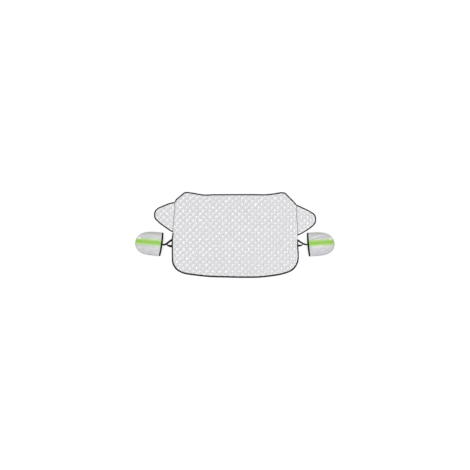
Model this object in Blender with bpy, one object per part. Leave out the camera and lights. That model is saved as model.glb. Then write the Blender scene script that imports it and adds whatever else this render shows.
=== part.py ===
"""A frost cover for a car's windshield, lying flat with its quilted outer face up.

A quilted main panel carries two quilted door flaps. Folded tape binds every free edge. Two thin
mirror pouches, each with an elastic hem round its mouth, are tied to the panel by flat elastic
straps.

Metres, +Z up. +Y points at the panel's top edge, and +X to the right as seen from above. The
origin is on the underside, under the middle of the panel, and everything rests on z = 0.
"""

import math
from typing import NamedTuple

import bmesh
import bpy
import numpy as np
from mathutils import Vector, geometry

# Main panel
PANEL_HALF_WIDTH = 0.7365
TOP_EDGE_Y = 0.4773
BOTTOM_EDGE_Y = -0.4935

# Quilting: the diamonds' two diagonals, and where the middle of one diamond is
DIAMOND_WIDTH = 0.0760
DIAMOND_HEIGHT = 0.0744
DIAMOND_MIDDLE_X = 0.0350
DIAMOND_MIDDLE_Y = 0.0250
PUFF_HEIGHT = 0.0056
CROWN_SHARE = 0.5  # the crown of a diamond, as a share of the diamond
FADE_WIDTH = 0.0220  # the diamonds flatten over this distance from a pressed edge

# The pad's pressed edge, and the tape folded round it
PRESSED_THICKNESS = 0.0020
TAPE_WALL = 0.0008
TAPE_LIP = 0.0130
LIP_MARGIN = 0.0010  # how much wider the pressed edge is than the tape's lip
SEAM_PRESS = 0.0050  # the pressed strip beside a flap's seam
UNDER_STEP = 0.0020  # the underside comes down to the ground over this width
TAPE_BACK = 0.0025  # a flap and its tape stop this far from the ends of the seam
CLEARANCE = 0.0003

# Mirror pouches
POUCH_LENGTH = 0.2900
POUCH_WIDTH = 0.2730
POUCH_TIP_POWER = 4.0
POUCH_SIDE_POWER = 2.0
POUCH_CLOTH = 0.0012
POUCH_BORDER = 0.0060  # the flat sewn border round a pouch
POUCH_SEAM_Z = 0.0125
POUCH_RISE = 0.0340
MOUTH_RISE = 0.0230
FILL_SHARE = 0.35  # the pouch reaches its full rise at this share of its length
DOME_POWER = 2.5
BELLY_POWER = 4.0
LENGTH_POWER = 3.0  # how late the pouch starts to close towards its tip
MOUTH_END = 0.0150  # the hem's opening ends this far from the pouch's side
STRIPE_WIDTH = 0.0500
STRIPE_OFFSET = 0.0150
STRIPE_THICKNESS = 0.0006
HEM_WIDTH = 0.0175
HEM_EXTRA = 0.0006  # the hem is thicker than the cloth by this, inside and outside

# Elastic straps
UPPER_STRAP_WIDTH = 0.0160
LOWER_STRAP_WIDTH = 0.0240
STRAP_THICKNESS = 0.0014
STRAP_JOIN = 0.50  # where along the upper strap the lower one is sewn to it
STRAP_ROOT_RUN_X = 0.0460
STRAP_ROOT_RUN_Y = -0.0300
LOWER_STRAP_TURN = math.pi

# Smoothness
ARC_STEP = math.radians(12.5)
NEAREST_POINT = 0.0030  # a quilting point this near a pressed edge is left out
POUCH_EDGE_STEPS = 26
POUCH_ROWS = 8
ROW_SHARES = (-0.92, -0.78, -0.6, -0.4, 0.45, 0.62, 0.78, 0.92)  # where a row's points are
ROW_GAP = 0.0120  # a row's points are at least this far apart
LAST_ROW = 0.0210  # the last row's distance from the tip
HEM_STEPS = 14
STRAP_STEPS = 12
SHARP_ANGLE = math.radians(35)
TRIANGULATION_SNAP = 1e-5
SHORTEST_EDGE = 0.0010
SHARP_TURN = 0.3  # the sine of the least turn that counts as a corner

PRESSED_BOTTOM = TAPE_WALL + CLEARANCE
PRESSED_TOP = PRESSED_BOTTOM + PRESSED_THICKNESS
TAPE_TOP = PRESSED_TOP + CLEARANCE + TAPE_WALL
TAPE_OUT = CLEARANCE + TAPE_WALL
PRESSED_WIDTH = TAPE_LIP + LIP_MARGIN


class Side(NamedTuple):
    """What differs between the left and the right of the cover.

    A corner is (distance in from the panel's side, y, radius of its arc). The corners' y is
    measured from the top edge, and that of the side and bottom corners from the bottom edge.
    """

    name: str
    sign: int
    top: tuple
    cut_end: tuple  # where the cut-off corner ends and the flap's seam starts
    seam: tuple
    foot: tuple  # where the flap's seam ends
    tape_start: tuple  # where the tape round the bottom starts
    side: tuple
    flap: tuple  # its corners without a radius, from the foot round the tip to the seam's start
    pouch_away: float
    pouch_y: float
    pouch_tilt: float
    mouth_skew: float  # the lean of the mouth, per metre across
    mouth_bow: float
    tip_skew: float  # the lean of the tip, per metre across
    upper_root_y: float
    lower_root_y: float
    landing_run: tuple


LEFT = Side(
    name="left",
    sign=-1,
    top=(
        (0.4700, -0.0052, 0.5),
        (0.3716, -0.0112, 0.5),
        (0.2382, 0.0140, 0.25),
        (0.1512, 0.0238, 0.05),
        (0.0458, -0.0630, 0.06),
    ),
    cut_end=(0.0328, -0.0921),
    seam=((0.0320, -0.1973, 0.3), (0.0205, -0.2773, 0.3)),
    foot=(0.0085, -0.4493),
    tape_start=(0.0079, 0.5175),
    side=(
        (-0.0026, 0.4495, 0.3),
        (-0.0007, 0.2350, 0.3),
        (0.0030, 0.1633, 0.3),
        (0.0490, 0.0875, 0.3),
        (0.1366, 0.0430, 0.3),
        (0.4191, 0.0082, 1.2),
    ),
    flap=(
        (-0.0850, -0.3916),
        (-0.1699, -0.3218),
        (-0.2060, -0.2817),
        (-0.2064, -0.2073),
        (-0.1687, -0.1647),
        (-0.0328, -0.1067),
    ),
    pouch_away=0.1330,
    pouch_y=-0.1073,
    pouch_tilt=math.radians(4.8),
    mouth_skew=-0.0547,
    mouth_bow=0.0070,
    tip_skew=-0.0340,
    upper_root_y=-0.0580,
    lower_root_y=-0.1286,
    landing_run=(-0.0260, -0.0160),
)

RIGHT = Side(
    name="right",
    sign=1,
    top=(
        (0.4999, -0.0040, 0.5),
        (0.3650, -0.0065, 0.5),
        (0.2062, 0.0191, 0.25),
        (0.1629, 0.0153, 0.025),
        (0.0765, -0.0702, 0.2),
    ),
    cut_end=(0.0292, -0.1222),
    seam=((0.0290, -0.2623, 0.3), (0.0210, -0.3373, 0.3)),
    foot=(0.0150, -0.4873),
    tape_start=(0.0100, 0.4435),
    side=(
        (0.0096, 0.3536, 0.1),
        (0.0024, 0.2810, 0.3),
        (0.0059, 0.1692, 0.3),
        (0.0731, 0.0800, 0.3),
        (0.1653, 0.0449, 0.3),
        (0.3820, 0.0003, 1.2),
    ),
    flap=(
        (-0.0672, -0.4456),
        (-0.1591, -0.3795),
        (-0.1974, -0.3358),
        (-0.1979, -0.2444),
        (-0.1292, -0.1987),
    ),
    pouch_away=0.1198,
    pouch_y=-0.1103,
    pouch_tilt=math.radians(3.2),
    mouth_skew=-0.0318,
    mouth_bow=0.0048,
    tip_skew=-0.0500,
    upper_root_y=-0.0640,
    lower_root_y=-0.1235,
    landing_run=(-0.0400, -0.0010),
)


def clear_scene():
    for obj in list(bpy.data.objects):
        bpy.data.objects.remove(obj)


def plain_material(name, colour, roughness, metallic=0.0):
    material = bpy.data.materials.new(name)
    material.use_nodes = True
    surface = material.node_tree.nodes["Principled BSDF"]
    surface.inputs["Base Color"].default_value = (*colour, 1.0)
    surface.inputs["Roughness"].default_value = roughness
    surface.inputs["Metallic"].default_value = metallic
    return material


def add_object(name, mesh, material, mirrored=False):
    """Turns the bmesh into a named object. A mirrored one is drawn at +X and belongs at -X."""
    if mirrored:
        for vertex in mesh.verts:
            vertex.co.x = -vertex.co.x
    bmesh.ops.recalc_face_normals(mesh, faces=mesh.faces[:])
    data = bpy.data.meshes.new(name)
    mesh.to_mesh(data)
    mesh.free()
    data.shade_smooth()
    data.set_sharp_from_angle(angle=SHARP_ANGLE)
    data.materials.append(material)
    bpy.context.scene.collection.objects.link(bpy.data.objects.new(name, data))


# Paths in the plane. Those of a side are drawn with x growing away from the panel.


def rounded_path(corners):
    """A path through the corners (x, y, radius), which turns at each inner one on an arc.

    An arc ends at the middle of the corner's shorter edge at the latest.
    """
    path = [Vector(corners[0][:2])]
    for before, corner, after in zip(corners, corners[1:], corners[2:]):
        at = Vector(corner[:2])
        back = Vector(before[:2]) - at
        ahead = Vector(after[:2]) - at
        turn = math.pi - back.angle(ahead)
        room = min(back.length, ahead.length) / 2
        reach = min(corner[2] * math.tan(turn / 2), room)
        start = at + back.normalized() * reach
        end = at + ahead.normalized() * reach
        steps = max(1, math.ceil(turn / ARC_STEP))
        if reach < TRIANGULATION_SNAP:
            path.append(at)
            continue
        radius = reach / math.tan(turn / 2)
        bulge = (back.normalized() + ahead.normalized()).normalized()
        centre = at + bulge * radius / math.cos(turn / 2)
        side = 1 if (start - centre).cross(end - centre) > 0 else -1
        met = (start - path[-1]).length < SHORTEST_EDGE  # the arc before ends here
        for step in range(1 if met else 0, steps + 1):
            angle = side * turn * step / steps
            spoke = start - centre
            path.append(
                centre
                + Vector(
                    (
                        spoke.x * math.cos(angle) - spoke.y * math.sin(angle),
                        spoke.x * math.sin(angle) + spoke.y * math.cos(angle),
                    )
                )
            )
    path.append(Vector(corners[-1][:2]))
    return path


def trimmed(path, cut):
    """The path with this length cut off each end."""
    for _ in range(2):
        left = cut
        while (path[1] - path[0]).length <= left:
            left -= (path[1] - path[0]).length
            path = path[1:]
        path = [path[0] + (path[1] - path[0]).normalized() * left] + path[1:]
        path = path[::-1]
    return path


def left_of(edge):
    return Vector((-edge.y, edge.x)).normalized()


def offset_path(path, by, first=None, last=None):
    """The open path moved to its left. Its ends move along first and last where these are given."""
    moved = []
    for i, point in enumerate(path):
        normals = [left_of(b - a) for a, b in zip(path, path[1:])][max(i - 1, 0) : i + 1]
        way = sum(normals, Vector((0, 0))).normalized()
        if i == 0 and first:
            way = first.normalized()
        if i == len(path) - 1 and last:
            way = last.normalized()
        moved.append(point + way * by / way.dot(normals[0]))
    return moved


def offset_loop(loop, widths):
    """The closed path moved inwards by each of its edges' own width."""
    moved = []
    for i, point in enumerate(loop):
        before, after = widths[i - 1], widths[i]
        one = left_of(point - loop[i - 1])
        two = left_of(loop[(i + 1) % len(loop)] - point)
        if before != after and abs(one.cross(two)) > SHARP_TURN:
            # The two moved edges meet here, and each keeps its own width.
            step = Vector((before * two.y - after * one.y, after * one.x - before * two.x))
            moved.append(point + step / one.cross(two))
        else:
            way = (one + two).normalized()
            moved.append(point + way * max(before, after) / way.dot(one))
    return moved


def mirrored(path):
    return [Vector((-point.x, point.y)) for point in path]


def inside(points, loop):
    """Which of the points are inside the closed loop."""
    x, y = points[:, 0:1], points[:, 1:2]
    x1, y1 = loop[:, 0], loop[:, 1]
    x2, y2 = np.roll(x1, -1), np.roll(y1, -1)
    spans = (y1 > y) != (y2 > y)
    rise = np.where(y2 == y1, 1.0, y2 - y1)
    crossed = x < (x2 - x1) * (y - y1) / rise + x1
    return (spans & crossed).sum(axis=1) % 2 == 1


def distances_to(points, loop):
    """How far each of the points is from the closed loop."""
    start = loop[None]
    run = (np.roll(loop, -1, axis=0) - loop)[None]
    to_point = points[:, None] - start
    share = np.clip((to_point * run).sum(2) / (run**2).sum(2), 0, 1)
    return np.linalg.norm(to_point - share[..., None] * run, axis=2).min(axis=1)


def as_array(path):
    return np.array([point[:] for point in path])


# The cover's outline


def from_side(corners, base_y):
    return [(PANEL_HALF_WIDTH - corner[0], base_y + corner[1], *corner[2:]) for corner in corners]


def top_path(side):
    """From the middle of the top edge to where the flap's seam starts."""
    return rounded_path([(0, TOP_EDGE_Y), *from_side([*side.top, side.cut_end], TOP_EDGE_Y)])


def seam_path(side):
    """Down the flap's seam."""
    return rounded_path(from_side([side.cut_end, *side.seam, side.foot], TOP_EDGE_Y))


def bare_path(side):
    """From the foot of the seam to where the tape starts."""
    (foot,) = from_side([side.foot], TOP_EDGE_Y)
    (start,) = from_side([side.tape_start], BOTTOM_EDGE_Y)
    return [Vector(foot), Vector(start)]


def bottom_path(side):
    """From where the tape starts, round the corner, to the middle of the bottom edge."""
    corners = from_side([side.tape_start, *side.side], BOTTOM_EDGE_Y)
    return rounded_path([*corners, (0, BOTTOM_EDGE_Y)])


def whole_top():
    """From right to left over the top. The middle point, on a straight, is left out."""
    return top_path(RIGHT)[:0:-1] + mirrored(top_path(LEFT))[1:]


def whole_bottom():
    """From left to right round the bottom."""
    return mirrored(bottom_path(LEFT))[:-1] + bottom_path(RIGHT)[-2::-1]


def flap_paths(side):
    """A flap's free edge, from the foot of the seam round the tip, and its seam edge back down."""
    seam = trimmed(offset_path(seam_path(side), CLEARANCE), TAPE_BACK)
    corners = from_side([(*corner, math.inf) for corner in side.flap], TOP_EDGE_Y)
    return rounded_path([seam[-1], *corners, seam[0]]), seam


# Flat cloth between two heights


class Detail(NamedTuple):
    """Points inside an outline, and the edges between them that its triangles keep."""

    points: list
    edges: list


def ring(points, start=0):
    return [(start + i, start + (i + 1) % len(points)) for i in range(len(points))]


def add_face(mesh, outline, detail, height):
    """Triangulates the outline and its detail at their heights, and returns the outline's vertices."""
    count = len(outline)
    edges = [(a + count, b + count) for a, b in detail.edges]
    corners, _, triangles, origins, _, owners = geometry.delaunay_2d_cdt(
        outline + detail.points, edges, [list(range(count))], 1, TRIANGULATION_SNAP, True
    )
    levels = height(as_array(corners))
    vertices = [mesh.verts.new((*corner, z)) for corner, z in zip(corners, levels)]
    for triangle, owner in zip(triangles, owners):
        if owner:
            mesh.faces.new([vertices[corner] for corner in triangle])
    edge = {}
    for vertex, sources in zip(vertices, origins):
        edge.update({source: vertex for source in sources if source < count})
    return [edge[i] for i in range(count)]


def cloth(outline, over, under, top, bottom):
    """A closed sheet over the outline. top and bottom give the heights of an array of points."""
    mesh = bmesh.new()
    upper = add_face(mesh, outline, over, top)
    lower = add_face(mesh, outline, under, bottom)
    for i, j in ring(outline):
        mesh.faces.new((lower[i], lower[j], upper[j], upper[i]))
    return mesh


# Quilted pads


def quilting(middle, pressed):
    """The grooves and crowns of the diamonds inside the pressed edge."""
    loop = as_array(pressed)
    half = np.array((DIAMOND_WIDTH / 2, DIAMOND_HEIGHT / 2))
    low = np.floor((loop.min(axis=0) - middle) / half).astype(int) - 1
    high = np.ceil((loop.max(axis=0) - middle) / half).astype(int) + 2
    steps = [(a, b) for a in range(low[0], high[0]) for b in range(low[1], high[1])]
    crossings = [step for step in steps if sum(step) % 2]
    crowns = [step for step in steps if not sum(step) % 2]
    points = []
    edges = []

    def kept(spots):
        spots = np.array(spots)
        return inside(spots, loop) & (distances_to(spots, loop) > NEAREST_POINT)

    spots = [Vector(middle + half * step) for step in crossings]
    index = {}
    for step, spot, keep in zip(crossings, spots, kept(spots)):
        if keep:
            index[step] = len(points)
            points.append(spot)
    for step, spot in zip(crossings, spots):
        for side in (-1, 1):
            other = (step[0] + 1, step[1] + side)
            if step in index and other in index:
                edges.append((index[step], index[other]))
            elif step in index or other in index:
                far = Vector(middle + half * other)
                end = groove_end(spot, far, pressed)
                if end:
                    edges.append((index.get(step, index.get(other)), len(points)))
                    points.append(end)

    for step in crowns:
        spot = middle + half * step
        corners = [
            Vector(spot + half * CROWN_SHARE * way) for way in ((1, 0), (0, 1), (-1, 0), (0, -1))
        ]
        keep = kept(corners)
        if keep.all():
            edges += ring(corners, len(points))
        points += [corner for corner, good in zip(corners, keep) if good]
    return Detail(points, edges)


def groove_end(start, end, pressed):
    """Where the groove from start to end meets the pressed edge."""
    for i, j in ring(pressed):
        met = geometry.intersect_line_line_2d(start, end, pressed[i], pressed[j])
        if met:
            return met
    return None


def quilted_pad(outline, widths, middle):
    """A pad over the outline, pressed flat over the given width along each of its edges."""
    pressed = offset_loop(outline, widths)
    grounded = offset_loop(outline, [width + UNDER_STEP for width in widths])
    diamonds = quilting(np.array(middle), pressed)
    over = Detail(
        pressed + diamonds.points,
        ring(pressed) + [(a + len(pressed), b + len(pressed)) for a, b in diamonds.edges],
    )
    under = Detail(pressed + grounded, ring(pressed) + ring(grounded, len(pressed)))
    pressed_loop = as_array(pressed)
    grounded_loop = as_array(grounded)
    half = np.array((DIAMOND_WIDTH / 2, DIAMOND_HEIGHT / 2))

    def top(points):
        # Two diamond grids, half a diamond apart, cover the plane between them.
        steps = (points - middle) / half
        near = np.abs(steps - 2 * np.round(steps / 2)).sum(axis=1)
        apart = np.abs(steps - 1 - 2 * np.round((steps - 1) / 2)).sum(axis=1)
        away = np.minimum(near, apart)
        puff = np.clip((1 - away) / (1 - CROWN_SHARE), 0, 1)
        fade = np.clip(distances_to(points, pressed_loop) / FADE_WIDTH, 0, 1)
        fade = np.where(inside(points, pressed_loop), fade, 0)
        return PRESSED_TOP + PUFF_HEIGHT * puff * np.sqrt(fade)

    def bottom(points):
        within = distances_to(points, grounded_loop) < TRIANGULATION_SNAP
        within |= inside(points, grounded_loop)
        return np.where(within, 0.0, PRESSED_BOTTOM)

    return cloth(outline, over, under, top, bottom)


def main_panel(material):
    parts = [
        (whole_top(), PRESSED_WIDTH),
        (mirrored(seam_path(LEFT)), SEAM_PRESS),
        (mirrored(bare_path(LEFT)), PRESSED_WIDTH),
        (whole_bottom(), PRESSED_WIDTH),
        (bare_path(RIGHT)[::-1], PRESSED_WIDTH),
        (seam_path(RIGHT)[::-1], SEAM_PRESS),
    ]
    outline = []
    widths = []
    for path, width in parts:
        outline += path[:-1]
        widths += [width] * (len(path) - 1)
    mesh = quilted_pad(outline, widths, (DIAMOND_MIDDLE_X, DIAMOND_MIDDLE_Y))
    add_object("main_panel", mesh, material)


def door_flap(side, material):
    free, seam = flap_paths(side)
    outline = free[:-1] + seam[:-1]
    widths = [PRESSED_WIDTH] * (len(free) - 1) + [SEAM_PRESS] * (len(seam) - 1)
    mesh = quilted_pad(outline, widths, (side.sign * DIAMOND_MIDDLE_X, DIAMOND_MIDDLE_Y))
    add_object(f"{side.name}_door_flap", mesh, material, side.sign < 0)


# Swept strips


def swept(sections, closed=False):
    """A solid through the sections, each a loop of as many points. A closed one is a ring."""
    mesh = bmesh.new()
    loops = [[mesh.verts.new(point) for point in section] for section in sections]
    pairs = list(zip(loops, loops[1:]))
    if closed:
        pairs.append((loops[-1], loops[0]))
    for one, two in pairs:
        for i, j in ring(one):
            mesh.faces.new((one[i], one[j], two[j], two[i]))
    if not closed:
        mesh.faces.new(loops[0])
        mesh.faces.new(loops[-1])
    return mesh


def binding(path, first=None, last=None):
    """Tape folded round the edge of a pad that lies to the left of the path."""
    nose = TAPE_WALL
    profile = [
        (TAPE_LIP, TAPE_TOP),
        (nose - TAPE_OUT, TAPE_TOP),
        (-TAPE_OUT, TAPE_TOP - nose),
        (-TAPE_OUT, nose),
        (nose - TAPE_OUT, 0),
        (TAPE_LIP, 0),
        (TAPE_LIP, TAPE_WALL),
        (-CLEARANCE, TAPE_WALL),
        (-CLEARANCE, TAPE_TOP - TAPE_WALL),
        (TAPE_LIP, TAPE_TOP - TAPE_WALL),
    ]
    lines = [(offset_path(path, across, first=first, last=last), z) for across, z in profile]
    return swept([[(*line[i], z) for line, z in lines] for i in range(len(path))])


def flap_binding(side, material):
    free, seam = flap_paths(side)
    mesh = binding(free, first=seam[-2] - seam[-1], last=seam[1] - seam[0])
    add_object(f"{side.name}_flap_binding", mesh, material, side.sign < 0)


# Mirror pouches. u runs from the mouth to the tip, and v across, towards the cover's top edge.


def mouth_u(side, v):
    """The mouth's edge, a little aslant and bowed towards the panel."""
    return side.mouth_skew * v - side.mouth_bow * (1 - (2 * v / POUCH_WIDTH) ** 2)


def pouch_spot(side, u, v):
    """Where a point of the pouch is in the plane. The mouth's line turns into the tip's slant."""
    u = u + mouth_u(side, v) * (1 - u / POUCH_LENGTH) + side.tip_skew * v * u / POUCH_LENGTH
    cos, sin = math.cos(side.pouch_tilt), math.sin(side.pouch_tilt)
    return Vector(
        (
            PANEL_HALF_WIDTH + side.pouch_away + u * cos - v * sin,
            side.pouch_y + u * sin + v * cos,
        )
    )


def pouch_uv(side, points):
    """The (u, v) of an array of points in the plane, which undoes pouch_spot."""
    cos, sin = math.cos(side.pouch_tilt), math.sin(side.pouch_tilt)
    x = points[:, 0] - PANEL_HALF_WIDTH - side.pouch_away
    y = points[:, 1] - side.pouch_y
    v = y * cos - x * sin
    shift = mouth_u(side, v)
    return (x * cos + y * sin - shift) / (1 + (side.tip_skew * v - shift) / POUCH_LENGTH), v


def half_width_at(u, border=0.0):
    share = np.clip(u / (POUCH_LENGTH - border), 0, 1)
    return (POUCH_WIDTH / 2 - border) * (1 - share**POUCH_TIP_POWER) ** (1 / POUCH_SIDE_POWER)


def tip_u(v, border=0.0):
    share = min(abs(v) / (POUCH_WIDTH / 2 - border), 1)
    return (POUCH_LENGTH - border) * (1 - share**POUCH_SIDE_POWER) ** (1 / POUCH_TIP_POWER)


def pouch_edge(border=0.0):
    """(u, v) along the pouch's edge, from the mouth's lower end round the tip to its upper end."""
    edge = []
    for step in range(POUCH_EDGE_STEPS + 1):
        angle = math.pi * step / POUCH_EDGE_STEPS
        across = -math.cos(angle)
        along = max(math.sin(angle), 0) if 0 < step < POUCH_EDGE_STEPS else 0
        u = (POUCH_LENGTH - border) * along ** (2 / POUCH_TIP_POWER)
        v = math.copysign(abs(across) ** (2 / POUCH_SIDE_POWER), across)
        edge.append((u, v * (POUCH_WIDTH / 2 - border)))
    return edge


def stripe_columns():
    return [STRIPE_OFFSET + share * STRIPE_WIDTH / 2 for share in (-1, 0, 1)]


def row_starts():
    """The u of the pouch's rows of points, from the mouth towards the tip."""
    last = POUCH_LENGTH - LAST_ROW
    return [last * row / POUCH_ROWS for row in range(POUCH_ROWS + 1)]


def row_values(u):
    """The v of a row's points: under the stripe's lines, and from there out to the border."""
    half = float(half_width_at(u, POUCH_BORDER))
    values = [v for v in stripe_columns() if abs(v) < half - ROW_GAP]
    for share in ROW_SHARES:
        v = share * half
        if all(abs(v - other) > ROW_GAP for other in values):
            values.append(v)
    return sorted(values)


def fullness(u, v, power):
    """How full the pouch is at (u, v), from 0 at its border to 1 in the middle."""
    half = np.maximum(half_width_at(u, POUCH_BORDER), TRIANGULATION_SNAP)
    along = np.clip(u / (POUCH_LENGTH - POUCH_BORDER), 0, 1)
    across = np.clip(np.abs(v) / half, 0, 1)
    return (1 - across**power) * (1 - along**LENGTH_POWER)


def dome_z(u, v):
    """The inner face of the pouch's upper half."""
    filled = np.clip(u / (FILL_SHARE * POUCH_LENGTH), 0, 1)
    rise = MOUTH_RISE + (POUCH_RISE - MOUTH_RISE) * filled * (2 - filled)
    return POUCH_SEAM_Z + CLEARANCE / 2 + rise * fullness(u, v, DOME_POWER)


def belly_z(u, v):
    """The outer face of the pouch's lower half, which lies on the ground."""
    drop = POUCH_SEAM_Z - CLEARANCE / 2 - POUCH_CLOTH
    return drop * (1 - fullness(u, v, BELLY_POWER))


def pouch_half(side, lower_face, name, material):
    """One half of a pouch, one cloth thick above its lower face."""
    mouth_half = POUCH_WIDTH / 2 - POUCH_BORDER
    mouth = [(0.0, v) for v in (mouth_half, *reversed(row_values(0.0)), -mouth_half)]
    border = pouch_edge(POUCH_BORDER)
    inner = [(u, v) for u in row_starts()[1:] for v in row_values(u)]
    edges = [(i, i + 1) for i in range(len(border) - 1)]
    for v in stripe_columns():
        column = [len(border) + i for i, spot in enumerate(inner) if spot[1] == v]
        edges += list(zip(column, column[1:]))
    outline = [pouch_spot(side, u, v) for u, v in pouch_edge() + mouth]
    detail = Detail([pouch_spot(side, u, v) for u, v in border + inner], edges)

    def bottom(points):
        return lower_face(*pouch_uv(side, points))

    def top(points):
        return bottom(points) + POUCH_CLOTH

    mesh = cloth(outline, detail, detail, top, bottom)
    add_object(f"{side.name}_mirror_cover_{name}", mesh, material, side.sign < 0)


def mirror_stripe(side, material):
    """The reflective tape sewn along the pouch's upper half, from the mouth to the tip's seam."""
    rows = [[CLEARANCE] * 3]
    rows += [[u] * 3 for u in row_starts()[1:]]
    rows.append([tip_u(v, POUCH_BORDER + CLEARANCE) for v in stripe_columns()])
    sections = []
    for row in rows:
        lower = []
        for u, v in zip(row, stripe_columns()):
            spot = pouch_spot(side, u, v)
            lower.append((spot.x, spot.y, float(dome_z(u, v)) + POUCH_CLOTH + CLEARANCE))
        upper = [(x, y, z + STRIPE_THICKNESS) for x, y, z in reversed(lower)]
        sections.append(lower + upper)
    add_object(f"{side.name}_mirror_stripe", swept(sections), material, side.sign < 0)


def hem_face_u(away=0.0):
    """The u of the hem's face towards the panel, measured from the mouth's line."""
    return -CLEARANCE - HEM_WIDTH - away


def mirror_hem(side, material):
    """The elastic band round the mouth, a flattened ring."""
    shares = [2 * step / HEM_STEPS - 1 for step in range(HEM_STEPS + 1)]
    inner_share = 1 - MOUTH_END * 2 / POUCH_WIDTH
    loop = []
    for share in shares:
        outer_v = share * POUCH_WIDTH / 2
        inner_v = outer_v * inner_share
        outer_z = float(dome_z(0, outer_v)) + POUCH_CLOTH + HEM_EXTRA
        loop.append((outer_v, outer_z, inner_v, float(dome_z(0, inner_v)) - HEM_EXTRA))
    for share in reversed(shares):
        outer_v = share * POUCH_WIDTH / 2
        inner_v = outer_v * inner_share
        outer_z = max(float(belly_z(0, outer_v)) - HEM_EXTRA, 0)
        inner_z = max(float(belly_z(0, inner_v)) - HEM_EXTRA, 0) + POUCH_CLOTH + 2 * HEM_EXTRA
        loop.append((outer_v, outer_z, inner_v, inner_z))
    sections = []
    for outer_v, outer_z, inner_v, inner_z in loop:
        corners = [
            (hem_face_u(), outer_v, outer_z),
            (-CLEARANCE, outer_v, outer_z),
            (-CLEARANCE, inner_v, inner_z),
            (hem_face_u(), inner_v, inner_z),
        ]
        sections.append([(*pouch_spot(side, u, v), z) for u, v, z in corners])
    mesh = swept(sections, closed=True)
    add_object(f"{side.name}_mirror_hem", mesh, material, side.sign < 0)


# Elastic straps


def edge_at(side, y):
    """The point of the taped side at this y, and the way along the edge there."""
    path = bottom_path(side)
    for start, end in zip(path, path[1:]):
        if end.y <= y <= start.y:
            return start.lerp(end, (start.y - y) / (start.y - end.y)), (end - start).normalized()
    raise ValueError(f"the {side.name} side has no taped edge at y = {y}")


def strap_root(side, y):
    """Where a strap leaves the tape, and the way along the edge there."""
    point, way = edge_at(side, y)
    return point + left_of(way) * (TAPE_OUT + CLEARANCE), way


def upper_strap_path(side):
    """The strap's middle line, from the panel's edge to the hem, and the ways of its two ends."""
    root, root_way = strap_root(side, side.upper_root_y)
    face_u = hem_face_u(CLEARANCE)
    landing = pouch_spot(side, face_u, 0.0)
    half = UPPER_STRAP_WIDTH / 2
    landing_way = pouch_spot(side, face_u, half) - pouch_spot(side, face_u, -half)
    path = geometry.interpolate_bezier(
        root,
        root + Vector((STRAP_ROOT_RUN_X, STRAP_ROOT_RUN_Y)),
        landing + Vector(side.landing_run),
        landing,
        2 * STRAP_STEPS + 1,
    )
    return path, root_way, landing_way


def lower_strap_path(side):
    """The middle line from the panel's edge to the upper strap's side."""
    upper, _, _ = upper_strap_path(side)
    at = round(STRAP_JOIN * (len(upper) - 1))
    along = (upper[at + 1] - upper[at - 1]).normalized()
    across = -left_of(along)
    end = upper[at] + across * (UPPER_STRAP_WIDTH / 2 + CLEARANCE)
    root, root_way = strap_root(side, side.lower_root_y)
    reach = (end - root).length / 3
    path = geometry.interpolate_bezier(
        root, root + left_of(root_way) * reach, end + across * reach, end, STRAP_STEPS + 1
    )
    return path, root_way, along


def ribbon(path, first, last, width, turn=0.0):
    """Flat webbing along the path, with its lower edge on the ground. It turns over by turn."""
    ways = [moved - point for moved, point in zip(offset_path(path, 1.0, first=first, last=last), path)]
    sections = []
    for i, (point, way) in enumerate(zip(path, ways)):
        share = i / (len(path) - 1)
        angle = turn * share * share * (3 - 2 * share)
        cos, sin = math.cos(angle), math.sin(angle)
        middle = Vector((*point, (width * abs(sin) + STRAP_THICKNESS * abs(cos)) / 2))
        across = Vector((*(way * cos), sin)) * width / 2
        through = Vector((*(way * -sin), cos)) * STRAP_THICKNESS / 2
        sections.append(
            [middle + across + through, middle + across - through,
             middle - across - through, middle - across + through]
        )
    return swept(sections)


def straps(side, material):
    path, first, last = upper_strap_path(side)
    mesh = ribbon(path, first, last, UPPER_STRAP_WIDTH)
    add_object(f"{side.name}_upper_strap", mesh, material, side.sign < 0)
    path, first, last = lower_strap_path(side)
    mesh = ribbon(path, first, last, LOWER_STRAP_WIDTH, LOWER_STRAP_TURN)
    add_object(f"{side.name}_lower_strap", mesh, material, side.sign < 0)


def mirror_pouch(side, cloth_material, stripe_material, elastic_material):
    pouch_half(side, belly_z, "back", cloth_material)
    pouch_half(side, dome_z, "front", cloth_material)
    mirror_stripe(side, stripe_material)
    mirror_hem(side, elastic_material)


def build():
    clear_scene()
    quilt = plain_material("quilted_silver_cloth", (0.74, 0.74, 0.76), 0.45)
    tape = plain_material("black_binding_tape", (0.030, 0.030, 0.032), 0.70)
    silver = plain_material("silver_taffeta", (0.60, 0.60, 0.64), 0.35)
    green = plain_material("green_reflective_tape", (0.27, 0.62, 0.06), 0.30)
    elastic = plain_material("black_elastic", (0.014, 0.014, 0.015), 0.80)

    main_panel(quilt)
    add_object("top_edge_binding", binding(whole_top()), tape)
    add_object("bottom_edge_binding", binding(whole_bottom()), tape)
    for side in (LEFT, RIGHT):
        door_flap(side, quilt)
        flap_binding(side, tape)
        mirror_pouch(side, silver, green, elastic)
        straps(side, elastic)


build()
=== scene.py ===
"""The looks of a car windshield's frost cover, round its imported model.

The quilted pads, the tape, the mirror pouches, their hems and stripes and the straps are modelled
here again as fine meshes, each in the place of its plain solid. Metres, +Z up. The cover lies on
its underside on z = 0, with +Y towards its top edge.
"""

import math
from typing import NamedTuple

import bmesh
import bpy
import numpy as np
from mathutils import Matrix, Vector, geometry, kdtree, noise


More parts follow.
